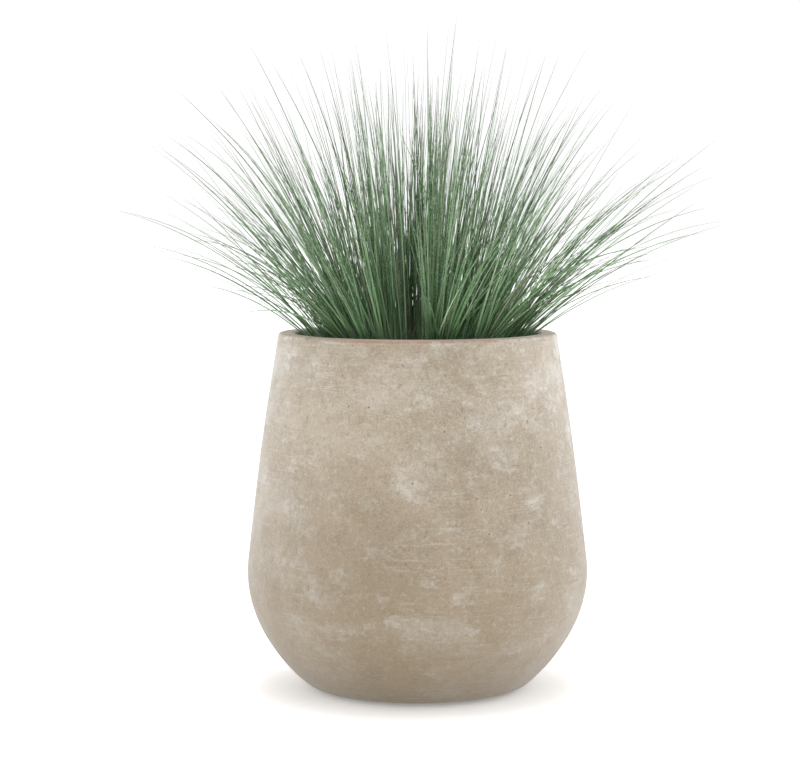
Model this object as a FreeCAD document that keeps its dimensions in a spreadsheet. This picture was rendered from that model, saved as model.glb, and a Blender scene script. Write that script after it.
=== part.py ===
import FreeCAD, Part
import math
import os
import Sketcher

# A round clay planter: a pot of revolution on four rubber pads, a plugged drain hole under a
# perforated screen, a bed of clay granules, and a lift-out plastic liner that holds fleece,
# soil, seven root balls and seven tufts of ornamental grass.
#
# Frame: millimetres, +Z up, origin on the ground under the middle of the pot.

SIZES = {
    # the pot's outside, a body of revolution
    "pot_height": 500.0,            # ground to lip
    "rim_radius": 194.5,            # outside, at the lip
    "belly_radius": 239.4,          # outside, at the widest point
    "belly_height": 164.6,          # ground to the widest point
    "belly_arc": 167.0,             # radius of the arc round the belly
    "bowl_top": 99.3,               # ground to where the belly arc becomes the bowl arc
    "bowl_arc": 238.4,              # radius of the arc under the belly
    "base_round": 33.0,             # radius where the bowl turns into the base
    "wall_bow": 5950.0,             # radius of the barely bowed wall above the belly
    # the pot's wall, floor and lip
    "wall_thickness": 24.0,
    "floor_thickness": 28.0,
    "floor_round": 20.0,            # radius inside, between floor and wall
    "lip_round": 4.0,
    # pads under the base
    "pad_thickness": 3.0,
    "pad_radius": 15.0,
    "pad_inset": 32.0,              # pad's middle to the edge of the flat base
    # drain hole and its plug
    "drain_radius": 12.5,
    "flange_reach": 5.5,            # plug's flange past the hole
    "flange_thickness": 4.0,
    "flange_sink": 2.0,             # flange's face up inside its recess
    "recess_clearance": 2.0,        # flange to the recess's wall
    "plug_clearance": 0.06,         # running clearance of the shank in the hole, on the radius
    "plug_short": 2.0,              # shank's end below the screen
    "slot_width": 4.0,              # finger slot across the flange
    "slot_depth": 2.0,
    "slot_margin": 6.0,             # slot's end to the flange's edge
    # perforated screen over the drain hole
    "screen_lap": 17.5,             # screen past the drain hole
    "screen_thickness": 2.0,
    "screen_hole_radius": 2.5,
    "screen_inner_circle": 10.0,
    "screen_outer_circle": 20.0,
    # bed of granules on the floor
    "bed_depth": 131.0,
    "bed_clearance": 0.3,           # between the granules and the pot's wall and screen
    # liner
    "liner_drop": 18.0,             # pot's lip to the liner's rim
    "finger_gap": 12.5,             # between the liner's rim and the pot's mouth
    "liner_rim_reach": 8.0,         # solid rim past the liner's wall
    "liner_taper": 30.0,            # how much narrower the liner's foot is than its mouth
    "liner_thickness": 2.5,
    "liner_rim_depth": 5.0,
    "liner_hole_radius": 6.0,
    "liner_hole_inset": 40.0,       # drain holes from the liner's outside
    # what the liner holds
    "fleece_thickness": 1.5,
    "soil_drop": 17.0,              # liner rim to soil surface
    "soil_clearance": 0.3,          # between soil and liner, and soil and root balls
    "root_height": 90.0,
    "root_taper": 7.0,              # how much narrower a root ball's foot is than its top
    "root_gap": 8.0,                # soil between two root balls
    "root_margin": 5.9,             # soil between the outer root balls and the liner
    # grass
    "crown_inset": 6.0,             # edge of the root ball to the crown of the tuft
    "crown_height": 15.0,
    "bundle_root_radius": 4.5,      # a bundle of blades, where it leaves the crown
    "bundle_tip_radius": 2.0,
}

# Each bundle of blades: where it leaves the crown's top (out from the tuft's middle and aside
# from it, as shares of the crown's radius), how far it leans from the vertical, which way it
# leans and how far it reaches. The ways out and the leans are counted from the tuft's own
# direction, which is straight away from the pot's axis.
MIDDLE_BUNDLES = {"upright": (0.0, 0.0, 0.0, 0.0, 441.0)}
STEEP_BUNDLES = 6
for place in range(STEEP_BUNDLES):
    turn = (place + 0.5) * 360.0 / STEEP_BUNDLES
    out = 0.58 * math.cos(math.radians(turn))
    aside = 0.58 * math.sin(math.radians(turn))
    MIDDLE_BUNDLES["steep_%d" % (place + 1)] = (out, aside, 15.0, turn, 436.0)
OUTER_BUNDLES = {
    "inner": (-0.74, 0.0, 23.0, 0.0, 417.0),
    "centre": (-0.16, 0.0, 44.0, 0.0, 401.0),
    "side_left": (-0.03, 0.66, 36.0, 20.0, 398.0),
    "side_right": (-0.03, -0.66, 36.0, -20.0, 398.0),
    "low": (0.47, 0.0, 62.0, 0.0, 359.0),
    "low_left": (0.46, 0.63, 52.0, 24.0, 395.0),
    "low_right": (0.46, -0.63, 52.0, -24.0, 395.0),
}
BUNDLE_CELLS = ("out", "aside", "lean", "lean_turn", "reach")

SCREEN_RINGS = (("inner", 6), ("outer", 12))
LINER_HOLES = 6
PADS = 4
RING_TUFTS = 6

doc = FreeCAD.newDocument("planter")
sheet = doc.addObject("Spreadsheet::Sheet", "Sizes")


# ---------------------------------------------------------------- sizes in the sheet

def fill_sheet():
    cells = dict(SIZES)
    for bundles in (MIDDLE_BUNDLES, OUTER_BUNDLES):
        for bundle, values in bundles.items():
            for cell, value in zip(BUNDLE_CELLS, values):
                cells["%s_%s" % (bundle, cell)] = value
    for row, (alias, value) in enumerate(cells.items(), start=1):
        sheet.set("A%d" % row, alias.replace("_", " "))
        sheet.set("B%d" % row, repr(value))
        sheet.setAlias("B%d" % row, alias)
    doc.recompute()


def number(expression):
    """The value of an expression in the sheet's sizes, as a plain number."""
    return float(sheet.evalExpression(expression))


fill_sheet()

# levels and radii that several pieces share, as expressions in the sheet's sizes
BASE = "Sizes.pad_thickness"
TOP = "Sizes.pot_height"
FLOOR = "(%s + Sizes.floor_thickness)" % BASE
RECESS_TOP = "(%s + Sizes.flange_sink + Sizes.flange_thickness)" % BASE
LINER_SEAT = "(%s + Sizes.bed_depth)" % FLOOR
LINER_FLOOR = "(%s + Sizes.liner_thickness)" % LINER_SEAT
LINER_TOP = "(%s - Sizes.liner_drop)" % TOP
SOIL_FOOT = "(%s + Sizes.fleece_thickness)" % LINER_FLOOR
SOIL_TOP = "(%s - Sizes.soil_drop)" % LINER_TOP
ROOT_FOOT = "(%s - Sizes.root_height)" % SOIL_TOP
CROWN_TOP = "(%s + Sizes.crown_height)" % SOIL_TOP

# sine and cosine of the angle below the level where the belly's arc meets the bowl's
LOW_SINE = "((Sizes.belly_height - Sizes.bowl_top) / Sizes.belly_arc)"
LOW_COSINE = "sqrt(1 - %s * %s)" % (LOW_SINE, LOW_SINE)
BOWL_ACROSS = ("(Sizes.belly_radius - Sizes.belly_arc"
               " - (Sizes.bowl_arc - Sizes.belly_arc) * %s)" % LOW_COSINE)
BOWL_UP = "(Sizes.belly_height + (Sizes.bowl_arc - Sizes.belly_arc) * %s)" % LOW_SINE


def flat_radius(inset, floor, rounding):
    """Radius of a flat floor, at a height, that a round joins to the bowl."""
    rise = "(%s + %s - %s)" % (floor, rounding, BOWL_UP)
    reach = "(Sizes.bowl_arc - %s - %s)" % (inset, rounding)
    return "(%s + sqrt(%s * %s - %s * %s))" % (BOWL_ACROSS, reach, reach, rise, rise)


PAD_CIRCLE = "(%s - Sizes.pad_inset)" % flat_radius("0", BASE, "Sizes.base_round")

FLANGE_RADIUS = "(Sizes.drain_radius + Sizes.flange_reach)"
SCREEN_RADIUS = "(Sizes.drain_radius + Sizes.screen_lap)"

LINER_RIM = "(Sizes.rim_radius - Sizes.wall_thickness - Sizes.finger_gap)"
LINER_MOUTH = "(%s - Sizes.liner_rim_reach)" % LINER_RIM
LINER_FOOT = "(%s - Sizes.liner_taper)" % LINER_MOUTH


def liner_inside(height):
    """Inside radius of the tapered liner at a height above the ground."""
    return ("(%s - Sizes.liner_thickness + (%s - %s) * Sizes.liner_taper / (%s - %s))"
            % (LINER_FOOT, height, LINER_SEAT, LINER_TOP, LINER_SEAT))


# seven equal root balls, one in the middle and six round it, just fill the liner's mouth
ROOT_TOP_RADIUS = ("((%s - Sizes.root_margin - Sizes.root_gap) / 3)" % liner_inside(SOIL_TOP))
ROOT_FOOT_RADIUS = "(%s - Sizes.root_taper)" % ROOT_TOP_RADIUS
TUFT_CIRCLE = "(2 * %s + Sizes.root_gap)" % ROOT_TOP_RADIUS
CROWN_RADIUS = "(%s - Sizes.crown_inset)" % ROOT_TOP_RADIUS


# ---------------------------------------------------------------- sketch and feature helpers

def new_body(label):
    body = doc.addObject("PartDesign::Body", label)
    body.Label = label
    return body


def sketch_on(body, name, role):
    sketch = body.newObject("Sketcher::SketchObject", name)
    plane = [item for item in body.Origin.OriginFeatures if item.Role == role][0]
    sketch.AttachmentSupport = [(plane, "")]
    sketch.MapMode = "FlatFace"
    return sketch


def bound(sketch, kind, where, expression):
    """A dimension of the sketch that follows an expression."""
    index = sketch.addConstraint(Sketcher.Constraint(kind, *where, number(expression)))
    sketch.setExpression("Constraints[%d]" % index, expression)


def join(sketch, kind, *where):
    sketch.addConstraint(Sketcher.Constraint(kind, *where))


V_AXIS = -2
START, END, CENTRE = 1, 2, 3


def fix_point(sketch, element, point, across, up):
    """Places a point: across is None on the vertical axis."""
    if across is None:
        join(sketch, "PointOnObject", element, point, V_AXIS)
    else:
        bound(sketch, "DistanceX", (element, point), across)
    bound(sketch, "DistanceY", (element, point), up)


def closed_outline(sketch, corners):
    """A closed outline of straight lines through corners given as (across, up)."""
    places = [FreeCAD.Vector(number(across) if across else 0.0, number(up), 0.0)
              for across, up in corners]
    lines = []
    for here, there in zip(places, places[1:] + places[:1]):
        lines.append(sketch.addGeometry(Part.LineSegment(here, there), False))
    for line, following in zip(lines, lines[1:] + lines[:1]):
        join(sketch, "Coincident", line, END, following, START)
    for line, (across, up) in zip(lines, corners):
        fix_point(sketch, line, START, across, up)


def revolve(body, sketch, name):
    feature = body.newObject("PartDesign::Revolution", name)
    feature.Profile = sketch
    feature.ReferenceAxis = (sketch, ["V_Axis"])
    feature.Angle = 360.0
    doc.recompute()
    return feature


def circle_sketch(body, name, radius, across=None):
    """A circle on the ground plane, on the axis or out along +X."""
    sketch = sketch_on(body, name, "XY_Plane")
    centre = FreeCAD.Vector(number(across) if across else 0.0, 0.0, 0.0)
    circle = sketch.addGeometry(
        Part.Circle(centre, FreeCAD.Vector(0, 0, 1), number(radius)), False)
    bound(sketch, "Radius", (circle,), radius)
    join(sketch, "PointOnObject", circle, CENTRE, -1)
    if across is None:
        join(sketch, "PointOnObject", circle, CENTRE, V_AXIS)
    else:
        bound(sketch, "DistanceX", (circle, CENTRE), across)
    return sketch


def cut_up_to(body, sketch, name, height):
    """A pocket from the ground plane up to a height; it must take material away."""
    before = body.Shape.Volume
    pocket = body.newObject("PartDesign::Pocket", name)
    pocket.Profile = sketch
    pocket.Type = "Length"
    pocket.Reversed = True
    pocket.setExpression("Length", height)
    doc.recompute()
    if body.Shape.Volume >= before:
        raise RuntimeError("%s cut nothing" % name)
    return pocket


def repeat_round(body, feature, sketch, name, count):
    """Repeats a cut round the sketch's normal; it must take more material away."""
    before = body.Shape.Volume
    pattern = body.newObject("PartDesign::PolarPattern", name)
    pattern.Originals = [feature]
    pattern.Axis = (sketch, ["N_Axis"])
    pattern.Angle = 360.0
    pattern.Occurrences = count
    body.Tip = pattern
    doc.recompute()
    if body.Shape.Volume >= before:
        raise RuntimeError("%s repeated nothing" % name)


def cylinder(name, radius, height, up):
    """An upright cylinder on the axis, standing at a height."""
    item = doc.addObject("Part::Cylinder", name)
    item.setExpression("Radius", radius)
    item.setExpression("Height", height)
    item.setExpression("Placement.Base.z", up)
    return item


def cone(name, foot_radius, top_radius, height, up):
    """An upright cone's trunk on the axis, standing at a height."""
    item = doc.addObject("Part::Cone", name)
    item.setExpression("Radius1", foot_radius)
    item.setExpression("Radius2", top_radius)
    item.setExpression("Height", height)
    item.setExpression("Placement.Base.z", up)
    return item


def cut(name, base, tool):
    item = doc.addObject("Part::Cut", name)
    item.Base = base
    item.Tool = tool
    return item


def set_out(item, radius, degrees):
    """Moves an upright item from the axis out to a radius and an angle."""
    angle = math.radians(degrees)
    item.setExpression("Placement.Base.x", "%s * %r" % (radius, math.cos(angle)))
    item.setExpression("Placement.Base.y", "%s * %r" % (radius, math.sin(angle)))


# ---------------------------------------------------------------- the pot's outline

def arc(sketch, centre, radius, start, end, construction=False):
    circle = Part.Circle(FreeCAD.Vector(*centre, 0.0), FreeCAD.Vector(0, 0, 1), radius)
    return sketch.addGeometry(Part.ArcOfCircle(circle, start, end), construction)


class Outline:
    """Where the pot's arcs lie: belly, bowl below it and bowed wall above it."""

    def __init__(self):
        belly = number("Sizes.belly_arc")
        bow = number("Sizes.wall_bow")
        self.belly_centre = (number("Sizes.belly_radius") - belly,
                             number("Sizes.belly_height"))
        self.low_angle = -math.asin(number(LOW_SINE))
        self.bowl_centre = (number(BOWL_ACROSS), number(BOWL_UP))
        # the wall's arc is tangent to the belly's and passes through the lip's outer edge
        out = number("Sizes.rim_radius") - self.belly_centre[0]
        up = number(TOP) - self.belly_centre[1]
        reach = math.hypot(out, up)
        step = bow - belly
        share = (bow ** 2 - step ** 2 - reach ** 2) / (2.0 * step * reach)
        self.high_angle = math.atan2(up, out) - math.acos(share)
        self.wall_centre = (self.belly_centre[0] - step * math.cos(self.high_angle),
                            self.belly_centre[1] - step * math.sin(self.high_angle))


outline = Outline()


def upper_arcs(sketch, inset, top, construction=False):
    """The wall's and the belly's arcs, moved in from the pot's outside by an inset."""
    bow = number("Sizes.wall_bow") - inset
    top_angle = math.asin((top - outline.wall_centre[1]) / bow)
    belly = arc(sketch, outline.belly_centre, number("Sizes.belly_arc") - inset,
                outline.low_angle, outline.high_angle, construction)
    wall = arc(sketch, outline.wall_centre, bow, outline.high_angle, top_angle, construction)
    join(sketch, "Tangent", belly, END, wall, START)
    return belly, wall


def outside_arcs(sketch, construction=False):
    """The pot's outer belly and wall, fixed by the sizes."""
    belly, wall = upper_arcs(sketch, 0.0, number(TOP), construction)
    bound(sketch, "Radius", (belly,), "Sizes.belly_arc")
    bound(sketch, "DistanceX", (belly, CENTRE), "Sizes.belly_radius - Sizes.belly_arc")
    bound(sketch, "DistanceY", (belly, CENTRE), "Sizes.belly_height")
    bound(sketch, "DistanceY", (belly, START), "Sizes.bowl_top")
    bound(sketch, "Radius", (wall,), "Sizes.wall_bow")
    bound(sketch, "DistanceX", (wall, END), "Sizes.rim_radius")
    bound(sketch, "DistanceY", (wall, END), TOP)
    return belly, wall


def inside_arcs(sketch, inset, outer_belly, outer_wall):
    """Belly and wall a constant inset inside the outer ones."""
    belly, wall = upper_arcs(sketch, number(inset), number(TOP))
    join(sketch, "Coincident", belly, CENTRE, outer_belly, CENTRE)
    join(sketch, "Coincident", wall, CENTRE, outer_wall, CENTRE)
    bound(sketch, "Radius", (belly,), "Sizes.belly_arc - %s" % inset)
    bound(sketch, "DistanceY", (belly, START),
          "Sizes.belly_height - (Sizes.belly_arc - %s) * %s" % (inset, LOW_SINE))
    return belly, wall


def bowl_and_floor(sketch, belly, inset, floor, rounding):
    """The bowl arc under the belly, the round into the floor, and the floor to the axis."""
    bowl_radius = number("Sizes.bowl_arc") - number(inset)
    across = number(flat_radius(inset, floor, rounding))
    up = number(floor) + number(rounding)
    angle = math.atan2(up - outline.bowl_centre[1], across - outline.bowl_centre[0])
    bowl = arc(sketch, outline.bowl_centre, bowl_radius, angle, outline.low_angle)
    corner = arc(sketch, (across, up), number(rounding), -math.pi / 2.0, angle)
    line = sketch.addGeometry(Part.LineSegment(
        FreeCAD.Vector(0.0, number(floor), 0.0),
        FreeCAD.Vector(across, number(floor), 0.0)), False)
    join(sketch, "Tangent", bowl, END, belly, START)
    join(sketch, "Tangent", corner, END, bowl, START)
    join(sketch, "Tangent", line, END, corner, START)
    join(sketch, "Horizontal", line)
    bound(sketch, "Radius", (bowl,), "Sizes.bowl_arc - %s" % inset)
    bound(sketch, "Radius", (corner,), rounding)
    fix_point(sketch, line, START, None, floor)
    return line


def close_with_line(sketch, first, first_point, second, second_point):
    """A straight line between two points of the sketch."""
    ends = [sketch.getPoint(first, first_point), sketch.getPoint(second, second_point)]
    line = sketch.addGeometry(Part.LineSegment(*ends), False)
    join(sketch, "Coincident", line, START, first, first_point)
    join(sketch, "Coincident", line, END, second, second_point)
    return line


# ---------------------------------------------------------------- pieces of the pot

def lip_edges(shape):
    """Names of the two sharp circles at the top of the pot."""
    top = number(TOP)
    return ["Edge%d" % place for place, edge in enumerate(shape.Edges, start=1)
            if abs(edge.BoundBox.ZMin - top) < 1e-6 and edge.BoundBox.ZLength < 1e-6]


def pot_shell():
    body = new_body("pot_shell")
    sketch = sketch_on(body, "pot_outline", "XZ_Plane")
    outer_belly, outer_wall = outside_arcs(sketch)
    base = bowl_and_floor(sketch, outer_belly, "0", BASE, "Sizes.base_round")
    inner_belly, inner_wall = inside_arcs(sketch, "Sizes.wall_thickness",
                                          outer_belly, outer_wall)
    floor = bowl_and_floor(sketch, inner_belly, "Sizes.wall_thickness", FLOOR,
                           "Sizes.floor_round")
    close_with_line(sketch, base, START, floor, START)
    lip = close_with_line(sketch, outer_wall, END, inner_wall, END)
    join(sketch, "Horizontal", lip)
    wall = revolve(body, sketch, "pot_wall")

    rounding = body.newObject("PartDesign::Fillet", "lip_rounding")
    rounding.Base = (wall, lip_edges(wall.Shape))
    rounding.setExpression("Radius", "Sizes.lip_round")
    doc.recompute()

    recess = circle_sketch(body, "recess_circle",
                           "%s + Sizes.recess_clearance" % FLANGE_RADIUS)
    cut_up_to(body, recess, "plug_recess", RECESS_TOP)
    hole = circle_sketch(body, "drain_circle", "Sizes.drain_radius")
    cut_up_to(body, hole, "drain_hole", FLOOR)
    return body


def foot_pads():
    pads = []
    for place in range(PADS):
        pad = cylinder("foot_pad_%d" % (place + 1), "Sizes.pad_radius",
                       "Sizes.pad_thickness", "0")
        set_out(pad, PAD_CIRCLE, (place + 0.5) * 360.0 / PADS)
        pads.append(pad)
    return pads


def drain_plug():
    body = new_body("drain_plug")
    flange_foot = "(%s + Sizes.flange_sink)" % BASE
    shank_top = "(%s - Sizes.plug_short)" % FLOOR
    shank_radius = "(Sizes.drain_radius - Sizes.plug_clearance)"
    sketch = sketch_on(body, "plug_outline", "XZ_Plane")
    closed_outline(sketch, [
        (None, flange_foot), (FLANGE_RADIUS, flange_foot), (FLANGE_RADIUS, RECESS_TOP),
        (shank_radius, RECESS_TOP), (shank_radius, shank_top), (None, shank_top)])
    revolve(body, sketch, "plug_turned")

    slot = sketch_on(body, "slot_outline", "XY_Plane")
    long_side = "(%s - Sizes.slot_margin)" % FLANGE_RADIUS
    short_side = "(Sizes.slot_width / 2)"
    closed_outline(slot, [
        ("-%s" % long_side, "-%s" % short_side), (long_side, "-%s" % short_side),
        (long_side, short_side), ("-%s" % long_side, short_side)])
    cut_up_to(body, slot, "finger_slot", "%s + Sizes.slot_depth" % flange_foot)
    return body


def drain_screen():
    body = new_body("drain_screen")
    top = "(%s + Sizes.screen_thickness)" % FLOOR
    sketch = sketch_on(body, "screen_outline", "XZ_Plane")
    closed_outline(sketch, [(None, FLOOR), (SCREEN_RADIUS, FLOOR), (SCREEN_RADIUS, top),
                            (None, top)])
    revolve(body, sketch, "screen_disc")
    middle = circle_sketch(body, "middle_circle", "Sizes.screen_hole_radius")
    cut_up_to(body, middle, "middle_hole", top)
    for ring, count in SCREEN_RINGS:
        circle = circle_sketch(body, "%s_ring_circle" % ring, "Sizes.screen_hole_radius",
                               "Sizes.screen_%s_circle" % ring)
        hole = cut_up_to(body, circle, "%s_ring_hole" % ring, top)
        repeat_round(body, hole, circle, "%s_ring" % ring, count)
    return body


def drainage_fill():
    """The pot's inside, a clearance in from its wall, up to the level of the bed."""
    inset = "(Sizes.wall_thickness + Sizes.bed_clearance)"
    form = doc.addObject("PartDesign::Body", "bed_form")
    sketch = sketch_on(form, "bed_outline", "XZ_Plane")
    outer_belly, outer_wall = outside_arcs(sketch, construction=True)
    belly, wall = inside_arcs(sketch, inset, outer_belly, outer_wall)
    floor = bowl_and_floor(sketch, belly, inset, FLOOR, "Sizes.floor_round")
    bound(sketch, "DistanceY", (wall, END), TOP)
    axis = sketch.addGeometry(Part.LineSegment(
        FreeCAD.Vector(0.0, number(TOP), 0.0), FreeCAD.Vector(0.0, number(FLOOR), 0.0)), False)
    join(sketch, "Coincident", axis, END, floor, START)
    join(sketch, "PointOnObject", axis, START, V_AXIS)
    lid = close_with_line(sketch, wall, END, axis, START)
    join(sketch, "Horizontal", lid)
    revolve(form, sketch, "bed_turned")

    level = cylinder("bed_level", "Sizes.belly_radius", "Sizes.bed_depth", FLOOR)
    bed = doc.addObject("Part::Common", "bed_heap")
    bed.Base = form
    bed.Tool = level
    pocket = cylinder("bed_pocket", "%s + Sizes.bed_clearance" % SCREEN_RADIUS,
                      "Sizes.screen_thickness + Sizes.bed_clearance", FLOOR)
    return cut("drainage_fill", bed, pocket)


# ---------------------------------------------------------------- pieces of the insert

def liner():
    body = new_body("liner")
    rim_foot = "(%s - Sizes.liner_rim_depth)" % LINER_TOP
    sketch = sketch_on(body, "liner_outline", "XZ_Plane")
    closed_outline(sketch, [
        (None, LINER_SEAT), (LINER_FOOT, LINER_SEAT),
        ("%s + Sizes.liner_thickness" % liner_inside(rim_foot), rim_foot),
        (LINER_RIM, rim_foot), (LINER_RIM, LINER_TOP), (liner_inside(LINER_TOP), LINER_TOP),
        (liner_inside(LINER_FLOOR), LINER_FLOOR), (None, LINER_FLOOR)])
    revolve(body, sketch, "liner_moulding")
    circle = circle_sketch(body, "liner_hole_circle", "Sizes.liner_hole_radius",
                           "%s - Sizes.liner_hole_inset" % LINER_FOOT)
    hole = cut_up_to(body, circle, "liner_hole", LINER_FLOOR)
    repeat_round(body, hole, circle, "liner_holes", LINER_HOLES)
    return body


def fleece_disc():
    radius = "(%s - Sizes.soil_clearance)" % liner_inside(LINER_FLOOR)
    return cylinder("fleece_disc", radius, "Sizes.fleece_thickness", LINER_FLOOR)


def tuft_places():
    """Each tuft's number, distance from the axis and angle: one in the middle, the rest round."""
    places = [(1, "0", 0.0)]
    for place in range(RING_TUFTS):
        places.append((place + 2, TUFT_CIRCLE, place * 360.0 / RING_TUFTS))
    return places


def root_balls():
    balls = []
    for tuft, radius, degrees in tuft_places():
        ball = cone("root_ball_%d" % tuft, ROOT_FOOT_RADIUS, ROOT_TOP_RADIUS,
                    "Sizes.root_height", ROOT_FOOT)
        set_out(ball, radius, degrees)
        balls.append(ball)
    return balls


def soil():
    """A trunk of a cone that fills the liner, with a pocket that each root ball stands in."""
    gap = "Sizes.soil_clearance"
    fill = cone("soil_fill", "%s - %s" % (liner_inside(SOIL_FOOT), gap),
                "%s - %s" % (liner_inside(SOIL_TOP), gap),
                "%s - %s" % (SOIL_TOP, SOIL_FOOT), SOIL_FOOT)
    pockets = []
    for tuft, radius, degrees in tuft_places():
        pocket = cone("soil_pocket_%d" % tuft, "%s + %s" % (ROOT_FOOT_RADIUS, gap),
                      "%s + %s" % (ROOT_TOP_RADIUS, gap), "Sizes.root_height", ROOT_FOOT)
        set_out(pocket, radius, degrees)
        pockets.append(pocket)
    joined = doc.addObject("Part::MultiFuse", "soil_pockets")
    joined.Shapes = pockets
    return cut("soil", fill, joined)


# ---------------------------------------------------------------- grass

def level_circle(name, radius, place, up):
    """A horizontal circle above a place on the ground."""
    circle = doc.addObject("Part::Circle", name)
    circle.setExpression("Radius", radius)
    circle.Placement.Base = place
    circle.setExpression("Placement.Base.z", up)
    return circle


def bundle_of_blades(name, bundle, tuft_radius, tuft_angle):
    """A slender slanted cone from the crown's top to the blades' tips, level at both ends."""
    def cell(part):
        return number("Sizes.%s_%s" % (bundle, part))

    tuft_turn = FreeCAD.Rotation(FreeCAD.Vector(0, 0, 1), tuft_angle)
    crown = number(CROWN_RADIUS)
    foot = tuft_turn.multVec(FreeCAD.Vector(
        number(tuft_radius) + crown * cell("out"), crown * cell("aside"), 0.0))
    lean = math.radians(cell("lean"))
    turn = math.radians(tuft_angle + cell("lean_turn"))
    run = cell("reach") * math.sin(lean)
    tip = foot + FreeCAD.Vector(run * math.cos(turn), run * math.sin(turn), 0.0)
    tip_up = "%s + Sizes.%s_reach * %r" % (CROWN_TOP, bundle, math.cos(lean))
    loft = doc.addObject("Part::Loft", name)
    loft.Sections = [
        level_circle("%s_foot" % name, "Sizes.bundle_root_radius", foot, CROWN_TOP),
        level_circle("%s_tip" % name, "Sizes.bundle_tip_radius", tip, tip_up)]
    loft.Solid = True
    loft.Ruled = True
    return loft


def grass_tufts():
    tufts = []
    for tuft, radius, degrees in tuft_places():
        crown = cylinder("crown_%d" % tuft, CROWN_RADIUS, "Sizes.crown_height", SOIL_TOP)
        set_out(crown, radius, degrees)
        bundles = MIDDLE_BUNDLES if tuft == 1 else OUTER_BUNDLES
        pieces = [crown]
        for bundle in bundles:
            name = "tuft_%d_%s" % (tuft, bundle)
            pieces.append(bundle_of_blades(name, bundle, radius, degrees))
        group = doc.addObject("Part::Compound", "grass_tuft_%d" % tuft)
        group.Links = pieces
        tufts.append(group)
    return tufts


# ---------------------------------------------------------------- build, check and export

nodes = [pot_shell(), drain_plug(), drain_screen(), drainage_fill(), liner(), fleece_disc(),
         soil()]
nodes += foot_pads() + root_balls() + grass_tufts()
doc.recompute()

for item in doc.Objects:
    if "Invalid" in item.State or "Error" in item.State:
        raise RuntimeError("%s failed: %s" % (item.Name, item.State))
for node in nodes:
    if node.Shape.isNull() or not node.Shape.isValid() or node.Shape.Volume <= 0.0:
        raise RuntimeError("%s has no valid solid" % node.Label)

os.makedirs("parts", exist_ok=True)
for node in nodes:
    node.Shape.exportStep("parts/%s.step" % node.Label)
    print("%-16s %2d solids %12.0f mm3" % (node.Label, len(node.Shape.Solids),
                                           node.Shape.Volume))
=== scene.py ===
import math

import bmesh
import bpy
import numpy as np
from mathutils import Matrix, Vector, noise


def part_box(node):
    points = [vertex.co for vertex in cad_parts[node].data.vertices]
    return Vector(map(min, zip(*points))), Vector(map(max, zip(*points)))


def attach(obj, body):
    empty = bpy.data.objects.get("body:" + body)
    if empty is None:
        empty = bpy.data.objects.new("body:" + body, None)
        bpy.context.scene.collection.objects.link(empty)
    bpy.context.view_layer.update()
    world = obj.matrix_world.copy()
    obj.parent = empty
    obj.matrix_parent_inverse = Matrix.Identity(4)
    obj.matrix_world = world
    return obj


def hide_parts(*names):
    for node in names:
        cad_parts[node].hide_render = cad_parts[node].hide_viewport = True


# A round clay planter full of ornamental grass, finished round its solid model, in metres.
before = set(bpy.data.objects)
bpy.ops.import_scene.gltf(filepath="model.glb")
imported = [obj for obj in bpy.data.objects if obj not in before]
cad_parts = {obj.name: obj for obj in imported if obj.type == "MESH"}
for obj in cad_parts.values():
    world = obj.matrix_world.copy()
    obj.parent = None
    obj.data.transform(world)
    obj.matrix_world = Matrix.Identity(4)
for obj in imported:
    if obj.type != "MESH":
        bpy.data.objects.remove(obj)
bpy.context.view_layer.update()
scene = bpy.context.scene
scene.view_settings.view_transform = "Standard"


# ---------------------------------------------------------------- floor, light and camera
# The planter stands on a faintly lit white floor in a bright white room. A soft light on each
# side, a little behind it, brightens the pot's edges, and a wide one hangs over it. The camera
# stands three metres and a bit away, a little above the lip, and looks slightly down.

FLOOR_WIDTH = 60.0
FLOOR_WHITE = (0.97, 0.97, 0.97, 1.0)
FLOOR_GLOW = 0.22
ROOM_WHITE = (1.0, 1.0, 1.0, 1.0)
ROOM_LEVEL = 1.06
POT_MIDDLE = (0.0, 0.0, 0.35)   # where the side lights aim
GRASS_FOOT = (0.0, 0.0, 0.5)    # where the top light aims
CAMERA_DISTANCE = 3.281
CAMERA_HEIGHT = 0.6917
CAMERA_DIP = 0.082              # how far it looks down, in radians
LENS_LENGTH = 105.5             # in millimetres, on a 36 mm wide frame
LENS_SHIFT = -0.0219


def linear(level):
    """A screen level from 0 to 255 as the share of light that it stands for."""
    share = level / 255.0
    return share / 12.92 if share <= 0.04045 else ((share + 0.055) / 1.055) ** 2.4


def paint(red, green, blue):
    """A colour from its three screen levels."""
    return (linear(red), linear(green), linear(blue), 1.0)


def link(item):
    scene.collection.objects.link(item)
    return item


def white_floor():
    """A wide white board for the planter to stand on."""
    half = FLOOR_WIDTH / 2.0
    mesh = bpy.data.meshes.new("white_floor")
    mesh.from_pydata([(-half, -half, 0), (half, -half, 0), (half, half, 0), (-half, half, 0)],
                     [], [(0, 1, 2, 3)])
    board = bpy.data.materials.new("white_board")
    board.use_nodes = True
    shader = board.node_tree.nodes["Principled BSDF"]
    shader.inputs["Base Color"].default_value = FLOOR_WHITE
    shader.inputs["Roughness"].default_value = 0.9
    shader.inputs["Specular IOR Level"].default_value = 0.1
    shader.inputs["Emission Color"].default_value = ROOM_WHITE
    shader.inputs["Emission Strength"].default_value = FLOOR_GLOW
    mesh.materials.append(board)
    return link(bpy.data.objects.new("white_floor", mesh))


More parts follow.
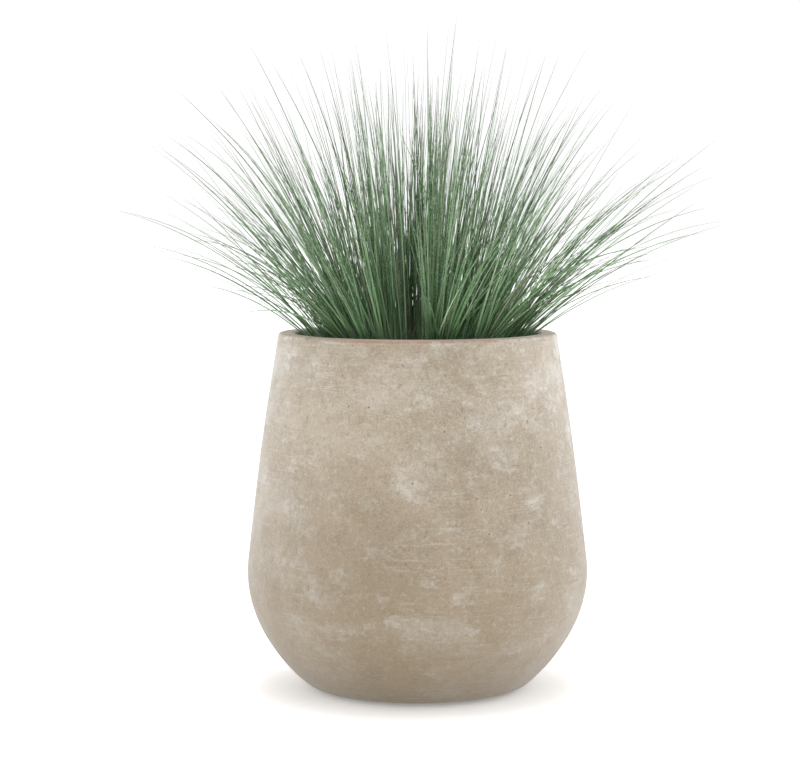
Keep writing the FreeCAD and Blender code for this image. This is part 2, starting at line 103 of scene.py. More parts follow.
def soft_light(name, place, aim, width, height, power):
    """A lamp behind a wide cloth, aimed at a place and out of the camera's sight."""
    lamp = bpy.data.lights.new(name, "AREA")
    lamp.shape = "RECTANGLE"
    lamp.size = width
    lamp.size_y = height
    lamp.energy = power
    holder = link(bpy.data.objects.new(name, lamp))
    holder.location = place
    holder.rotation_euler = (Vector(aim) - Vector(place)).to_track_quat("-Z", "Y").to_euler()
    holder.visible_camera = False


white_floor()

room = bpy.data.worlds.new("white_room")
room.use_nodes = True
room_light = room.node_tree.nodes["Background"]
room_light.inputs["Color"].default_value = ROOM_WHITE
room_light.inputs["Strength"].default_value = ROOM_LEVEL
scene.world = room

soft_light("left_light", (-2.3, 0.7, 0.9), POT_MIDDLE, width=1.6, height=1.8, power=6.5)
soft_light("right_light", (2.3, 0.7, 0.9), POT_MIDDLE, width=1.6, height=1.8, power=14.0)
soft_light("top_light", (0.0, 0.2, 3.0), GRASS_FOOT, width=2.0, height=2.0, power=24.0)

lens = bpy.data.cameras.new("camera")
lens.lens = LENS_LENGTH
lens.sensor_width = 36.0
lens.shift_x = LENS_SHIFT
camera = link(bpy.data.objects.new("camera", lens))
camera.location = (0.0, -CAMERA_DISTANCE, CAMERA_HEIGHT)
camera.rotation_euler = (math.pi / 2.0 - CAMERA_DIP, 0.0, 0.0)
scene.camera = camera


# ---------------------------------------------------------------- the clay pot
# One thick pot of grey-brown clay, pressed in a mould and smoothed by hand, so that its wall is
# never quite even. Lime has bloomed on it in whitish clouds, fine lines run round it where it
# was wiped, and the red body of the clay shows where the lip is worn.

pot_low, pot_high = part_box("pot_shell")
LIP_LEVEL = pot_high.z
BASE_LEVEL = pot_low.z
BELLY_RADIUS = pot_high.x
RIM_RADIUS = 0.1945
BELLY_LEVEL = 0.1646
BELLY_BEND = 0.167              # radius of the arc round the belly
BOWL_LEVEL = 0.0993             # where the belly's arc becomes the bowl's
BOWL_BEND = 0.2384
BASE_BEND = 0.033
WALL_BOW = 5.95
POT_WALL = 0.024
POT_FLOOR = BASE_LEVEL + 0.028
FLOOR_BEND = 0.02
LIP_BEND = 0.004
DRAIN_RADIUS = 0.0125
RECESS_RADIUS = 0.020
RECESS_ROOF = BASE_LEVEL + 0.006
DRAIN_EDGE = 0.0015             # rounding of the edges round the drain
RIM_BAND = 0.022                # the top of the wall, which is meshed more finely
WORN_BAND = 0.006               # how far below the lip its wear reaches
RUB_DEPTH = 0.0010
CHIP_DEPTH = 0.004
POT_COLUMNS = 360


def straight(start, end, count):
    """Places from one (radius, height) towards another, without the last."""
    share = np.arange(count)[:, None] / count
    return np.array(start) * (1.0 - share) + np.array(end) * share


def bend(centre, radius, start, end, count):
    """Places round an arc from one angle towards another, without the last."""
    angle = start + (end - start) * np.arange(count) / count
    return np.stack([centre[0] + radius * np.cos(angle), centre[1] + radius * np.sin(angle)], 1)


def turned(outline, columns, closed=True):
    """An outline of (radius, height) turned round the axis: points and four-sided faces."""
    angle = np.arange(columns) * 2.0 * math.pi / columns
    radius, height = outline[:, 0:1], outline[:, 1:2]
    points = np.stack([radius * np.cos(angle), radius * np.sin(angle),
                       np.repeat(height, columns, 1)], 2)
    row = np.arange(len(outline) if closed else len(outline) - 1)[:, None]
    after = (row + 1) % len(outline)
    column = np.arange(columns)[None, :]
    beside = (column + 1) % columns
    faces = np.stack([row * columns + column, row * columns + beside,
                      after * columns + beside, after * columns + column], 2)
    return points.reshape(-1, 3), faces.reshape(-1, 4)


def outline_normals(outline):
    """Which way each place of a closed outline faces, as (outward, upward)."""
    along = np.roll(outline, -1, 0) - np.roll(outline, 1, 0)
    facing = np.stack([along[:, 1], -along[:, 0]], 1)
    return facing / np.linalg.norm(facing, axis=1)[:, None]


def new_piece(name, points, faces, finish, sharp_from=None):
    """A smooth mesh piece, with a sharp edge where its faces meet at more than an angle."""
    mesh = bpy.data.meshes.new(name)
    mesh.from_pydata(np.asarray(points).tolist(), [], [list(face) for face in faces])
    mesh.shade_smooth()
    if sharp_from is not None:
        mesh.set_sharp_from_angle(angle=sharp_from)
    mesh.materials.append(finish)
    return link(bpy.data.objects.new(name, mesh))


def give_tone(piece, name, values):
    """Stores a value at each point of a piece, for its finish to read."""
    layer = piece.data.attributes.new(name, "FLOAT", "POINT")
    layer.data.foreach_set("value", np.asarray(values, np.float32))


class Finish:
    """A surface finish: one shader and the textures that feed it, laid out in metres."""

    def __init__(self, name, roughness, specular=0.3):
        self.material = bpy.data.materials.new(name)
        self.material.use_nodes = True
        self.tree = self.material.node_tree
        self.shader = self.tree.nodes["Principled BSDF"]
        self.shader.inputs["Roughness"].default_value = roughness
        self.shader.inputs["Specular IOR Level"].default_value = specular
        self.place = self.tree.nodes.new("ShaderNodeTexCoord").outputs["Object"]
        self.normal = None

    def feed(self, socket, value):
        """Sets a socket to a plain value, or joins another socket to it."""
        if isinstance(value, bpy.types.NodeSocket):
            self.tree.links.new(value, socket)
        else:
            socket.default_value = value

    def clouds(self, scale, detail=4.0, rough=0.5, stretch=(1.0, 1.0, 1.0), swirl=0.0):
        """A soft random pattern from 0 to 1."""
        mapping = self.tree.nodes.new("ShaderNodeMapping")
        mapping.inputs["Scale"].default_value = stretch
        self.tree.links.new(self.place, mapping.inputs["Vector"])
        texture = self.tree.nodes.new("ShaderNodeTexNoise")
        self.tree.links.new(mapping.outputs["Vector"], texture.inputs["Vector"])
        texture.inputs["Scale"].default_value = scale
        texture.inputs["Detail"].default_value = detail
        texture.inputs["Roughness"].default_value = rough
        texture.inputs["Distortion"].default_value = swirl
        return texture.outputs["Fac"]

    def spots(self, scale, size, share):
        """Round soft spots in a share of the cells of a pattern: 1 in a spot, 0 elsewhere."""
        texture = self.tree.nodes.new("ShaderNodeTexVoronoi")
        self.tree.links.new(self.place, texture.inputs["Vector"])
        texture.inputs["Scale"].default_value = scale
        inside = self.ease(texture.outputs["Distance"], size, size * 0.35)
        chosen = self.tree.nodes.new("ShaderNodeMath")
        chosen.operation = "LESS_THAN"
        chosen.inputs[1].default_value = share
        self.tree.links.new(texture.outputs["Color"], chosen.inputs[0])
        return self.times(inside, chosen.outputs[0])

    def along(self, axis):
        """How far along one axis of the object a place is."""
        parts = self.tree.nodes.new("ShaderNodeSeparateXYZ")
        self.tree.links.new(self.place, parts.inputs[0])
        return parts.outputs[axis]

    def painted(self, name):
        """A value that the mesh carries at each of its points."""
        value = self.tree.nodes.new("ShaderNodeAttribute")
        value.attribute_name = name
        return value.outputs["Fac"]

    def ease(self, value, low, high, least=0.0, most=1.0):
        """Turns a value's range into another, softly: low gives least and high gives most."""
        change = self.tree.nodes.new("ShaderNodeMapRange")
        change.interpolation_type = "SMOOTHSTEP"
        self.tree.links.new(value, change.inputs["Value"])
        change.inputs["From Min"].default_value = low
        change.inputs["From Max"].default_value = high
        change.inputs["To Min"].default_value = least
        change.inputs["To Max"].default_value = most
        return change.outputs["Result"]

    def times(self, first, second):
        """The product of two patterns, or of a pattern and a number."""
        product = self.tree.nodes.new("ShaderNodeMath")
        product.operation = "MULTIPLY"
        self.feed(product.inputs[0], first)
        self.feed(product.inputs[1], second)
        return product.outputs[0]

    def shades(self, value, stops):
        """A colour for each value, between stops given as (value, colour)."""
        ramp = self.tree.nodes.new("ShaderNodeValToRGB")
        while len(ramp.color_ramp.elements) < len(stops):
            ramp.color_ramp.elements.new(0.5)
        for element, (where, colour) in zip(ramp.color_ramp.elements, stops):
            element.position = where
            element.color = colour
        self.tree.links.new(value, ramp.inputs["Fac"])
        return ramp.outputs["Color"]

    def over(self, under, colour, share):
        """A colour laid over another, by a share."""
        layer = self.tree.nodes.new("ShaderNodeMix")
        layer.data_type = "RGBA"
        self.feed(layer.inputs[0], share)
        self.feed(layer.inputs[6], under)
        self.feed(layer.inputs[7], colour)
        return layer.outputs[2]

    def colour(self, value):
        self.tree.links.new(value, self.shader.inputs["Base Color"])

    def dullness(self, value):
        self.tree.links.new(value, self.shader.inputs["Roughness"])

    def emboss(self, height, depth):
        """Raises the surface where a pattern is high, by a depth in metres."""
        bump = self.tree.nodes.new("ShaderNodeBump")
        bump.inputs["Distance"].default_value = abs(depth)
        bump.inputs["Strength"].default_value = 1.0
        bump.invert = depth < 0
        self.tree.links.new(height, bump.inputs["Height"])
        if self.normal is not None:
            self.tree.links.new(self.normal, bump.inputs["Normal"])
        self.normal = bump.outputs["Normal"]
        self.tree.links.new(self.normal, self.shader.inputs["Normal"])


def weathered_clay():
    """Dry clay with lime bloom, wiped lines, crumbs, pits, painted shade towards the foot and a worn
    lip.
    """
    clay = Finish("weathered_clay", roughness=0.9, specular=0.3)
    height = clay.along("Z")

    body = clay.shades(clay.clouds(5.0, detail=6.0, rough=0.6),
                       [(0.36, paint(152, 136, 113)), (0.50, paint(167, 151, 128)),
                        (0.64, paint(181, 166, 145))])
    mottle = clay.clouds(34.0, detail=7.0, rough=0.68)
    body = clay.over(body, paint(136, 119, 95), clay.ease(mottle, 0.48, 0.68, 0.0, 0.5))

    # lime: powdery clouds that keep to parts of the pot, with a few whiter patches in them
    zone = clay.ease(clay.clouds(2.7, detail=3.0), 0.42, 0.56, 0.55, 1.0)
    powder = clay.ease(clay.clouds(95.0, detail=6.0, rough=0.75), 0.38, 0.60, 0.35, 1.0)
    bloom = clay.times(zone, powder)
    smear = (0.8, 0.8, 1.35)
    cloud = clay.ease(clay.clouds(10.0, detail=7.0, rough=0.68, stretch=smear), 0.48, 0.62)
    body = clay.over(body, paint(206, 201, 193), clay.times(clay.times(cloud, bloom), 0.80))
    patch = clay.ease(clay.clouds(21.0, detail=7.0, rough=0.72, stretch=smear), 0.54, 0.66)
    body = clay.over(body, paint(228, 225, 221), clay.times(clay.times(patch, bloom), 0.85))

    # short lines left by wiping, where the clay was wettest
    lines = clay.clouds(1.0, detail=4.0, rough=0.6, stretch=(16.0, 16.0, 280.0))
    band = clay.ease(clay.clouds(4.0, detail=2.0), 0.40, 0.54)
    wiped = clay.times(clay.ease(lines, 0.54, 0.68), band)
    body = clay.over(body, paint(210, 203, 193), clay.times(wiped, 0.52))

    # crumbs of lime and of the darker body, a millimetre or three across
    crumbs = clay.clouds(150.0, detail=5.0, rough=0.72)
    light = clay.times(clay.ease(crumbs, 0.54, 0.64, 0.0, 0.5), zone)
    body = clay.over(body, paint(222, 215, 206), light)
    body = clay.over(body, paint(112, 95, 72), clay.ease(crumbs, 0.44, 0.34, 0.0, 0.45))

    grain = clay.clouds(430.0, detail=4.0, rough=0.75)
    body = clay.over(body, clay.shades(grain, [(0.34, paint(96, 82, 60)),
                                               (0.66, paint(210, 204, 194))]), 0.26)
    rust = clay.spots(19.0, 0.075, 0.22)
    body = clay.over(body, paint(150, 112, 78), clay.times(rust, 0.4))
    # the pits are sunk and painted darker, as painted shade in them
    pits = clay.spots(85.0, 0.13, 0.24)
    body = clay.over(body, paint(84, 68, 52), clay.times(pits, 0.65))

    # painted shade: the pot is painted darker and browner towards its foot; the lip's top is darker
    # and browner, and its outer edge is worn red
    body = clay.over(body, paint(120, 101, 70), clay.ease(height, 0.44, 0.05, 0.0, 0.58))
    body = clay.over(body, paint(110, 92, 60), clay.ease(height, 0.12, 0.01, 0.0, 0.55))
    # the lip's top is tinted darker and browner
    lip_top_tint = clay.ease(height, LIP_LEVEL - 0.0016, LIP_LEVEL - 0.0006, 0.0, 0.65)
    body = clay.over(body, paint(158, 141, 114), lip_top_tint)
    below = clay.ease(height, LIP_LEVEL - 0.0046, LIP_LEVEL - 0.0032)
    above = clay.ease(height, LIP_LEVEL - 0.0004, LIP_LEVEL - 0.0014)
    edge = clay.times(clay.times(below, above), clay.painted("outer_side"))
    stretch = clay.ease(clay.along("Y"), -0.150, -0.172)
    dashes = clay.ease(clay.clouds(36.0, detail=7.0, rough=0.8), 0.38, 0.58, 0.15, 1.0)
    worn = clay.times(clay.times(edge, stretch), dashes)
    body = clay.over(body, paint(170, 120, 100), clay.times(worn, 0.85))
    clay.colour(body)

    clay.shader.inputs["Sheen Weight"].default_value = 0.38
    clay.shader.inputs["Sheen Roughness"].default_value = 0.6
    clay.shader.inputs["Sheen Tint"].default_value = (0.96, 0.98, 1.0, 1.0)
    clay.dullness(clay.ease(mottle, 0.3, 0.7, 0.8, 0.97))
    clay.emboss(mottle, 0.0010)
    clay.emboss(crumbs, 0.0008)
    clay.emboss(grain, 0.0004)
    clay.emboss(lines, 0.0003)
    clay.emboss(pits, -0.0014)
    return clay.material


def pot_side(inset, floor, rounding):
    """The pot's side, set in by a wall: centres and angles of its four arcs, and its floor."""
    low = -math.asin((BELLY_LEVEL - BOWL_LEVEL) / BELLY_BEND)
    belly = (BELLY_RADIUS - BELLY_BEND, BELLY_LEVEL)
    step = BOWL_BEND - BELLY_BEND
    bowl = (belly[0] - step * math.cos(low), belly[1] - step * math.sin(low))
    out, up = RIM_RADIUS - belly[0], LIP_LEVEL - belly[1]
    reach = math.hypot(out, up)
    step = WALL_BOW - BELLY_BEND
    share = (WALL_BOW ** 2 - step ** 2 - reach ** 2) / (2.0 * step * reach)
    high = math.atan2(up, out) - math.acos(share)
    wall = (belly[0] - step * math.cos(high), belly[1] - step * math.sin(high))
    rise = floor + rounding - bowl[1]
    flat = bowl[0] + math.sqrt((BOWL_BEND - inset - rounding) ** 2 - rise ** 2)
    foot = math.atan2(rise, flat - bowl[0])
    return belly, bowl, wall, low, high, foot, flat


def lip_arc(wall, inset):
    """The centre of the lip's rounding and the angle at which it meets the wall."""
    level = LIP_LEVEL - LIP_BEND
    reach = WALL_BOW - inset
    across = math.sqrt(reach ** 2 - (level - wall[1]) ** 2)
    return (wall[0] + across, level), math.atan2(level - wall[1], across)


def pot_outline():
    """The closed outline of the clay, and how freely the hand has moved each place of it."""
    belly, bowl, wall, low, high, foot, flat = pot_side(0.0, BASE_LEVEL, BASE_BEND)
    outer_lip, outer_end = lip_arc(wall, LIP_BEND)
    inner_lip, inner_end = lip_arc(wall, POT_WALL - LIP_BEND)
    inner_foot, inner_flat = pot_side(POT_WALL, POT_FLOOR, FLOOR_BEND)[5:]
    band = math.asin((LIP_LEVEL - RIM_BAND - wall[1]) / WALL_BOW)
    inside_bow = WALL_BOW - POT_WALL
    edge = DRAIN_EDGE
    runs = [
        # the drain hole, the plug's recess and the flat base
        (bend((DRAIN_RADIUS + edge, POT_FLOOR - edge), edge, math.pi / 2, math.pi, 3), 0.0),
        (straight((DRAIN_RADIUS, POT_FLOOR - edge), (DRAIN_RADIUS, RECESS_ROOF), 5), 0.0),
        (straight((DRAIN_RADIUS, RECESS_ROOF), (RECESS_RADIUS, RECESS_ROOF), 3), 0.0),
        (straight((RECESS_RADIUS, RECESS_ROOF), (RECESS_RADIUS, BASE_LEVEL + edge), 3), 0.0),
        (bend((RECESS_RADIUS + edge, BASE_LEVEL + edge), edge, math.pi, 1.5 * math.pi, 3), 0.0),
        (straight((RECESS_RADIUS + edge, BASE_LEVEL), (flat, BASE_LEVEL), 7), 0.0),
        # the outside, from the foot up to the lip
        (bend((flat, BASE_LEVEL + BASE_BEND), BASE_BEND, -math.pi / 2, foot, 10), 0.6),
        (bend(bowl, BOWL_BEND, foot, low, 36), 1.0),
        (bend(belly, BELLY_BEND, low, high, 42), 1.0),
        (bend(wall, WALL_BOW, high, band, 76), 1.0),
        (bend(wall, WALL_BOW, band, outer_end, 14), 1.0),
        (bend(outer_lip, LIP_BEND, outer_end, math.pi / 2, 7), 0.8),
        (straight((outer_lip[0], LIP_LEVEL), (inner_lip[0], LIP_LEVEL), 5), 0.5),
        # the inside, from the lip down to the floor
        (bend(inner_lip, LIP_BEND, math.pi / 2, math.pi + inner_end, 7), -0.4),
        (bend(wall, inside_bow, inner_end, high, 22), -0.5),
        (bend(belly, BELLY_BEND - POT_WALL, high, low, 10), 0.0),
        (bend(bowl, BOWL_BEND - POT_WALL, low, inner_foot, 8), 0.0),
        (bend((inner_flat, POT_FLOOR + FLOOR_BEND), FLOOR_BEND, inner_foot, -math.pi / 2, 5), 0.0),
        (straight((inner_flat, POT_FLOOR), (DRAIN_RADIUS + edge, POT_FLOOR), 7), 0.0),
    ]
    outline = np.concatenate([points for points, freedom in runs])
    freedom = np.concatenate([np.full(len(points), freedom) for points, freedom in runs])
    return outline, freedom


def smoothed_by_hand(place):
    """How far the hand has raised the clay at a place: slow swells, thumb marks and lines."""
    swell = noise.noise(place * 7.0)
    thumb = noise.noise(place * 29.0 + Vector((3.0, 7.0, 1.0)))
    line = noise.noise(Vector((place.x * 9.0, place.y * 9.0, place.z * 120.0)))
    return 0.0008 * swell + 0.0003 * thumb + 0.00012 * line


def lip_wear(place):
    """How deep the lip is worn at a place: it is rubbed unevenly, and has small chips."""
    rubbed = max(0.0, noise.noise(place * 16.0))
    chip = max(0.0, noise.noise(place * 52.0) - 0.38)
    return RUB_DEPTH * rubbed + CHIP_DEPTH * chip


def clay_pot():
    """The pot's points and faces, moved by hand and wear, and which points are outside."""
    outline, freedom = pot_outline()
    facing = outline_normals(outline)
    points, faces = turned(outline, POT_COLUMNS)
    points = points.reshape(len(outline), POT_COLUMNS, 3)
    for row, free in enumerate(freedom):
        if free == 0.0:
            continue
        for column in range(POT_COLUMNS):
            place = Vector(points[row, column])
            raised = free * smoothed_by_hand(place)
            if free < 0.0:
                raised = -abs(raised)
            elif place.z > LIP_LEVEL - WORN_BAND:
                raised -= lip_wear(place)
            outward = Vector((place.x, place.y, 0.0)).normalized() * facing[row, 0]
            points[row, column] = place + (outward + Vector((0, 0, facing[row, 1]))) * raised
    outer = np.repeat(freedom > 0.5, POT_COLUMNS)
    return points.reshape(-1, 3), faces, outer


pot_points, pot_faces, pot_outer = clay_pot()
pot = new_piece("clay_pot", pot_points, pot_faces, weathered_clay(), sharp_from=math.radians(50))
give_tone(pot, "outer_side", pot_outer)
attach(pot, "pot")
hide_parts("pot_shell")


# ---------------------------------------------------------------- foot pads and drain plug
# Four round pads of grey rubber are glued under the base, so that the clay doesn't scratch the
# ground. The drain plug is black rubber, moulded in one piece, and pushed up into its hole.

def rubber(name, colour, dusty):
    """Moulded rubber: matt, with a faint bloom of dust and a fine pebbled skin."""
    skin = Finish(name, roughness=0.75, specular=0.35)
    dust = skin.clouds(45.0, detail=6.0, rough=0.65)
    fine = skin.clouds(900.0, detail=2.0)
    coat = skin.over(colour, dusty, skin.ease(dust, 0.42, 0.75, 0.05, 0.5))
    skin.colour(skin.over(coat, paint(15, 15, 15), skin.ease(fine, 0.5, 0.75, 0.0, 0.4)))
    skin.dullness(skin.ease(dust, 0.35, 0.7, 0.55, 0.9))
    skin.emboss(fine, 0.00012)
    skin.emboss(dust, 0.0002)
    return skin.material


def coat_node(node, finish):
    """Gives a piece of the solid model its finish."""
    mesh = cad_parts[node].data
    mesh.materials.clear()
    mesh.materials.append(finish)


PADS = 4
pad_rubber = rubber("pad_rubber", paint(78, 77, 74), paint(140, 132, 120))
for pad in range(1, PADS + 1):
    coat_node("foot_pad_%d" % pad, pad_rubber)
coat_node("drain_plug", rubber("plug_rubber", paint(38, 37, 37), paint(104, 96, 86)))


# ---------------------------------------------------------------- drain screen and liner
# The screen is a round of punched black plastic over the drain hole. The liner is a plain
# nursery pot, injection moulded in dark plastic: it has fine flow marks and a dusting of soil.

def moulded_plastic(name, colour, scuffed):
    """Injection moulded plastic: satin, with flow marks, scuffs and a little soil."""
    plastic = Finish(name, roughness=0.5, specular=0.45)
    flow = plastic.clouds(3.0, detail=3.0, stretch=(1.0, 1.0, 18.0))
    soiled = plastic.clouds(26.0, detail=7.0, rough=0.7)
    fine = plastic.clouds(1100.0, detail=2.0)
    coat = plastic.over(colour, scuffed, plastic.ease(flow, 0.4, 0.7, 0.0, 0.35))
    coat = plastic.over(coat, paint(96, 78, 58), plastic.ease(soiled, 0.55, 0.78, 0.0, 0.5))
    plastic.colour(coat)
    plastic.dullness(plastic.ease(soiled, 0.35, 0.7, 0.38, 0.75))
    plastic.emboss(fine, 0.00006)
    plastic.emboss(flow, 0.0002)
    return plastic.material


coat_node("drain_screen", moulded_plastic("screen_plastic", paint(34, 36, 34), paint(58, 60, 56)))
coat_node("liner", moulded_plastic("liner_plastic", paint(40, 43, 41), paint(66, 70, 67)))


# ---------------------------------------------------------------- clay granules
# The bed under the liner is a heap of baked clay balls, about a centimetre across, poured in
# loose. They are rusty brown outside, chalky where they rubbed, and no two are quite alike.

GRANULE_RADIUS = 0.0064
GRANULE_GAP = 0.0113            # between the middles of two that touch
GRANULE_SEED = 41
GRANULE_TRIES = 12000
CORE_MESH = 0.009               # the hidden heart of the heap is meshed in squares this wide
LEAST_AREA = 1e-12


def node_triangles(node):
    """The triangles of a node's skin: their corners, which way they face and their areas."""
    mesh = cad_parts[node].data
    mesh.calc_loop_triangles()
    corners = np.array([[mesh.vertices[index].co for index in triangle.vertices]
                        for triangle in mesh.loop_triangles])
    crossed = np.cross(corners[:, 1] - corners[:, 0], corners[:, 2] - corners[:, 0])
    doubled = np.linalg.norm(crossed, axis=1)
    kept = doubled > LEAST_AREA
    return corners[kept], crossed[kept] / doubled[kept, None], doubled[kept] / 2.0


def spread_over(node, gap, tries, dice):
    """Places on a node's skin, none nearer to another than a gap, and which way each faces."""
    corners, facing, area = node_triangles(node)
    chosen = dice.choice(len(area), size=tries, p=area / area.sum())
    share = dice.random((tries, 2))
    folded = share.sum(1) > 1.0
    share[folded] = 1.0 - share[folded]
    base = corners[chosen, 0]
    places = (base + share[:, 0:1] * (corners[chosen, 1] - base)
              + share[:, 1:2] * (corners[chosen, 2] - base))
    boxes = {}
    kept = []
    near = [(a, b, c) for a in (-1, 0, 1) for b in (-1, 0, 1) for c in (-1, 0, 1)]
    for index, place in enumerate(places):
        box = tuple(np.floor(place / gap).astype(int))
        around = [other for step in near
                  for other in boxes.get((box[0] + step[0], box[1] + step[1], box[2] + step[2]), ())]
        if all(np.sum((places[other] - place) ** 2) >= gap * gap for other in around):
            boxes.setdefault(box, []).append(index)
            kept.append(index)
    return places[kept], facing[chosen[kept]]


def round_lump():
    """A ball of unit radius with even triangles: points and faces."""
    bare = bmesh.new()
    bmesh.ops.create_icosphere(bare, subdivisions=2, radius=1.0)
    points = np.array([vert.co for vert in bare.verts])
    faces = np.array([[vert.index for vert in face.verts] for face in bare.faces])
    bare.free()
    return points, faces


def any_turn(dice):
    """A rotation picked at random, as three rows."""
    turn, _ = np.linalg.qr(dice.normal(size=(3, 3)))
    return turn if np.linalg.det(turn) > 0 else -turn


def lumps_at(places, radii, dice, uneven, flat=0.85):
    """Uneven lumps with their middles at places: points, faces and a tone for each point."""
    ball, faces = round_lump()
    points, all_faces, tones = [], [], []
    for index, (place, radius) in enumerate(zip(places, radii)):
        shape = ball * (1.0 + uneven * np.sin(ball @ dice.normal(size=3) * 2.6)[:, None])
        shape = shape * np.array([1.0, dice.uniform(flat, 1.0), dice.uniform(flat, 1.0)])
        shape = shape / np.linalg.norm(shape, axis=1).max()
        points.append(place + radius * shape @ any_turn(dice))
        all_faces.append(faces + index * len(ball))
        tones.append(np.full(len(ball), dice.random()))
    return np.concatenate(points), np.concatenate(all_faces), np.concatenate(tones)


def fine_copy(node, voxel):
    """A node's solid meshed again in small even squares: points, facings and faces."""
    rough = link(bpy.data.objects.new("rough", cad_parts[node].data.copy()))
    remesh = rough.modifiers.new("fine", "REMESH")
    remesh.mode = "VOXEL"
    remesh.voxel_size = voxel
    made = bpy.data.meshes.new_from_object(
        rough.evaluated_get(bpy.context.evaluated_depsgraph_get()))
    points = np.array([vert.co for vert in made.vertices])
    facing = np.array([vert.normal for vert in made.vertices])
    faces = [list(face.vertices) for face in made.polygons]
    bpy.data.objects.remove(rough)
    bpy.data.meshes.remove(made)
    return points, facing, faces


def join_lists(*parts):
    """Several (points, faces, tones) as one."""
    points, faces, tones, start = [], [], [], 0
    for part_points, part_faces, part_tones in parts:
        points.append(part_points)
        faces += [[int(index) + start for index in face] for face in part_faces]
        tones.append(part_tones)
        start += len(part_points)
    return np.concatenate(points), faces, np.concatenate(tones)


def baked_clay():
    """Fired clay granules: rusty brown, a tone for each ball, chalk marks, and open pores painted
    dark as painted shade.
    """
    balls = Finish("baked_clay", roughness=0.95, specular=0.2)
    tone = balls.painted("granule_tone")
    # tone 0 is the heap's heart, painted dark as painted shade between the balls
    skin = balls.shades(tone, [(0.0, paint(46, 32, 24)), (0.1, paint(112, 70, 46)),
                               (0.55, paint(146, 92, 60)), (1.0, paint(168, 120, 86))])
    chalk = balls.clouds(240.0, detail=5.0, rough=0.7)
    skin = balls.over(skin, paint(196, 172, 148), balls.ease(chalk, 0.56, 0.72, 0.0, 0.45))
    # the pores are sunk and painted darker, as painted shade in them
    pores = balls.clouds(900.0, detail=3.0)
    balls.colour(balls.over(skin, paint(70, 44, 30), balls.ease(pores, 0.56, 0.7, 0.0, 0.6)))
    balls.emboss(pores, -0.0006)
    balls.emboss(chalk, 0.0004)
    return balls.material


def granule_bed():
    """Balls laid just under the heap's skin, over a heart painted dark as the shade in the gaps
    between them.
    """
    dice = np.random.default_rng(GRANULE_SEED)
    places, facing = spread_over("drainage_fill", GRANULE_GAP, GRANULE_TRIES, dice)
    seen = facing[:, 2] > -0.7
    places, facing = places[seen], facing[seen]
    radii = GRANULE_RADIUS * dice.uniform(0.86, 1.0, len(places))
    points, ball_faces, tones = lumps_at(places - facing * (radii[:, None] + 0.0002), radii,
                                         dice, 0.05)
    balls = (points, ball_faces, 0.1 + 0.9 * tones)
    points, facing, core_faces = fine_copy("drainage_fill", CORE_MESH)
    # the heart takes the darkest tone: painted shade in the gaps
    core = (points - facing * GRANULE_RADIUS * 1.1, core_faces, np.zeros(len(points)))
    return join_lists(balls, core)


granule_points, granule_faces, granule_tones = granule_bed()
granules = new_piece("clay_granules", granule_points, granule_faces, baked_clay())
give_tone(granules, "granule_tone", granule_tones)
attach(granules, "pot")
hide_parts("drainage_fill")


# ---------------------------------------------------------------- fleece
# A round of grey felted fleece lies on the liner's floor and keeps the soil out of its holes.
# It is cut by hand from a roll, so its edge is not quite even, and its face is matted fibres.

fleece_low, fleece_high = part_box("fleece_disc")
FLEECE_RADIUS = fleece_high.x - 0.0008
FLEECE_THICK = 0.0010
FLEECE_RINGS = 26
FLEECE_COLUMNS = 150


def capped(outline, columns):
    """An outline that starts and ends on the axis, turned, with a single point at each end."""
    points, faces = turned(outline, columns, closed=False)
    last = len(points) - columns
    ring = np.arange(columns)
    beside = (ring + 1) % columns
    first_fan = np.stack([np.zeros(columns, int), columns + beside, columns + ring], 1)
    last_fan = np.stack([np.full(columns, last), last - columns + ring,
                         last - columns + beside], 1)
    kept = np.ones(len(points), bool)
    kept[1:columns] = False
    kept[last + 1:] = False
    number = np.cumsum(kept) - 1
    faces = (number[first_fan].tolist() + number[faces[columns:-columns]].tolist()
             + number[last_fan].tolist())
    return points[kept], faces


def felt():
    """Matted grey fibres, stained by the soil in patches."""
    wool = Finish("felt", roughness=0.97, specular=0.1)
    fibres = wool.clouds(700.0, detail=5.0, rough=0.75, swirl=2.5)
    patches = wool.clouds(30.0, detail=4.0)
    base = wool.shades(fibres, [(0.3, paint(120, 120, 116)), (0.7, paint(186, 186, 180))])
    wool.colour(wool.over(base, paint(120, 100, 78), wool.ease(patches, 0.5, 0.75, 0.0, 0.4)))
    wool.shader.inputs["Sheen Weight"].default_value = 0.3
    wool.emboss(fibres, 0.0004)
    return wool.material


def fleece_round():
    """The round of fleece, a little wavy, with an edge trimmed by hand."""
    middle = (fleece_low.z + fleece_high.z) / 2.0
    half = FLEECE_THICK / 2.0
    out = np.linspace(0.0, FLEECE_RADIUS, FLEECE_RINGS)
    under = np.stack([out, np.full(FLEECE_RINGS, middle - half)], 1)
    over = np.stack([out[::-1], np.full(FLEECE_RINGS, middle + half)], 1)
    points, faces = capped(np.concatenate([under, over]), FLEECE_COLUMNS)
    for index, place in enumerate(points):
        rim = math.hypot(place[0], place[1]) / FLEECE_RADIUS
        wave = 0.00022 * noise.noise(Vector((place[0] * 38.0, place[1] * 38.0, 0.0)))
        trim = 1.0 - 0.006 * rim ** 8 * (1.0 + noise.noise(Vector(place) * 70.0))
        points[index] = (place[0] * trim, place[1] * trim, place[2] + wave)
    return points, faces


fleece = new_piece("fleece_round", *fleece_round(), felt(), sharp_from=math.radians(60))
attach(fleece, "insert")
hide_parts("fleece_disc")


# ---------------------------------------------------------------- potting soil
# Dark peaty compost, pressed in round the root balls and left loose on top, where it dries into
# crumbs. White grains of perlite and bits of bark are mixed through it.

SOIL_SEED = 7
CRUMB_GAP = 0.0078
CRUMB_TRIES = 9000
SOIL_MESH = 0.0045
PERLITE_SHARE = 0.14
SOIL_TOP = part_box("soil")[1].z


